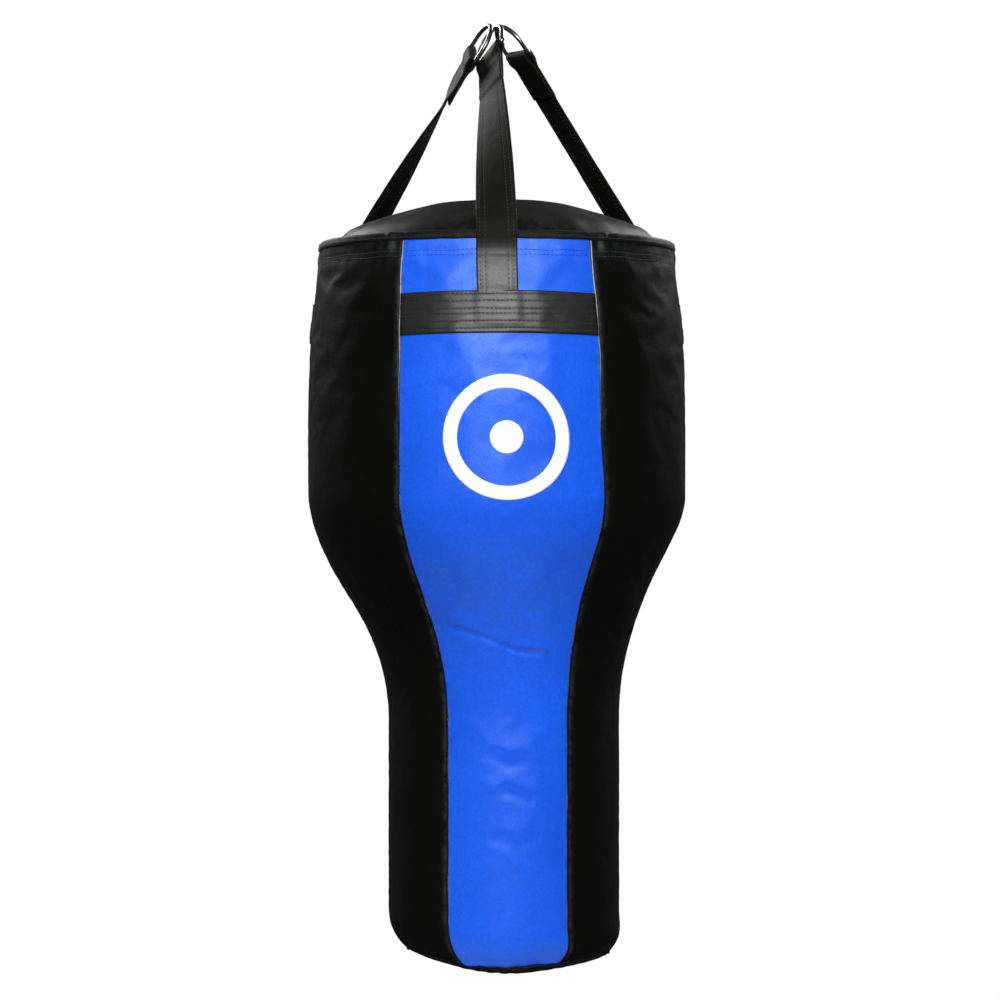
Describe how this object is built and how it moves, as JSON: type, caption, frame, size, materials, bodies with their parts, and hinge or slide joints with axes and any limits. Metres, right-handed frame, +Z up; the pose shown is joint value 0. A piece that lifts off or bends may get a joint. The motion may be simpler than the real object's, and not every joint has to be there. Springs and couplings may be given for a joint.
{
  "type": "heavy punching bag",
  "caption": "Hanging heavy bag, wide above and narrow below, with blue and black gored shell, domed top, webbing straps and steel D-rings.",
  "frame": {"origin": "the hang point, where a hook's wire passes under the gathered crowns of the D-rings, on the bag's own axis", "axes": "+Z up along the bag, the bag hangs below the origin along -Z; -Y is the front, the blue panel with the printed target"},
  "size_m": [0.4864, 0.487, 1.2006],
  "materials": {
    "blue_shell": "satin",
    "black_shell": "satin",
    "edge_piping": "satin",
    "binding": "matte",
    "webbing": "matte",
    "foam": "matte",
    "sack": "matte",
    "filling": "matte",
    "print": "satin",
    "steel": "polished",
    "zip_metal": "satin",
    "zip_tape": "matte"
  },
  "bodies": {
    "bag": {"blue_panel_front": "blue_shell", "blue_panel_right": "blue_shell", "blue_panel_left": "blue_shell", "black_panel_right": "black_shell", "black_panel_left": "black_shell", "black_panel_back": "black_shell", "seam_piping_1": "edge_piping", "seam_piping_2": "edge_piping", "seam_piping_3": "edge_piping", "seam_piping_4": "edge_piping", "seam_piping_5": "edge_piping", "seam_piping_6": "edge_piping", "base_welt": "edge_piping", "base_panel": "black_shell", "rim_binding": "binding", "hem_facing": "binding", "top_cover_front": "black_shell", "top_cover_back": "black_shell", "zip_tape_front": "zip_tape", "zip_tape_back": "zip_tape", "zip_chain": "zip_metal", "zip_stops": "zip_metal", "strap_sewn_front": "webbing", "strap_sewn_right": "webbing", "strap_sewn_left": "webbing", "belt_front": "webbing", "belt_right": "webbing", "belt_left": "webbing", "foam_wide": "foam", "foam_taper": "foam", "foam_narrow": "foam", "foam_top": "foam", "foam_base": "foam", "inner_sack": "sack", "textile_filling": "filling", "target_print": "print"},
    "front_strap": {"strap_front": "webbing"},
    "front_ring": {"d_ring_front": "steel"},
    "right_strap": {"strap_right": "webbing"},
    "right_ring": {"d_ring_right": "steel"},
    "left_strap": {"strap_left": "webbing"},
    "left_ring": {"d_ring_left": "steel"},
    "slider": {"zip_slider": "zip_metal"},
    "pull": {"zip_pull": "zip_metal"}
  },
  "joints": [
    {"name": "front_strap_fold", "type": "hinge", "parent": "bag", "child": "front_strap", "pos_m": [0, -0.233, -0.268], "axis": [1, 0, 0], "range_deg": [0, 195]},
    {"name": "right_strap_fold", "type": "hinge", "parent": "bag", "child": "right_strap", "pos_m": [0.20178, 0.1165, -0.268], "axis": [-0.5, 0.866, 0], "range_deg": [0, 195]},
    {"name": "left_strap_fold", "type": "hinge", "parent": "bag", "child": "left_strap", "pos_m": [-0.20178, 0.1165, -0.268], "axis": [-0.5, -0.866, 0], "range_deg": [0, 195]},
    {"name": "front_ring_tilt", "type": "hinge", "parent": "front_strap", "child": "front_ring", "pos_m": [-0.0085, -0.0151, -0.031], "axis": [0.5297, -0.6148, 0.5843], "range_deg": [0, 78]},
    {"name": "right_ring_tilt", "type": "hinge", "parent": "right_strap", "child": "right_ring", "pos_m": [0.029, 0.0248, -0.0258], "axis": [-0.4271, 0.9034, 0.0374], "range_deg": [0, 165]},
    {"name": "left_ring_tilt", "type": "hinge", "parent": "left_strap", "child": "left_ring", "pos_m": [-0.0325, 0.0052, -0.0287], "axis": [0.0996, -0.8734, -0.4767], "range_deg": [0, 165]},
    {"name": "zip_travel", "type": "hinge", "parent": "bag", "child": "slider", "pos_m": [0, 0, -0.686], "axis": [0, 0.9877, -0.1564], "range_deg": [0, 35.2]},
    {"name": "zip_pull_flip", "type": "hinge", "parent": "slider", "child": "pull", "pos_m": [-0.14353, 0.07078, -0.23909], "axis": [0, -0.9877, 0.1564], "range_deg": [0, 176]}
  ],
  "couplings": [
    {"joint": "right_strap_fold", "follows": "front_strap_fold", "ratio": 1},
    {"joint": "left_strap_fold", "follows": "front_strap_fold", "ratio": 1},
    {"joint": "front_ring_tilt", "follows": "front_strap_fold", "ratio": 0.4}
  ]
}
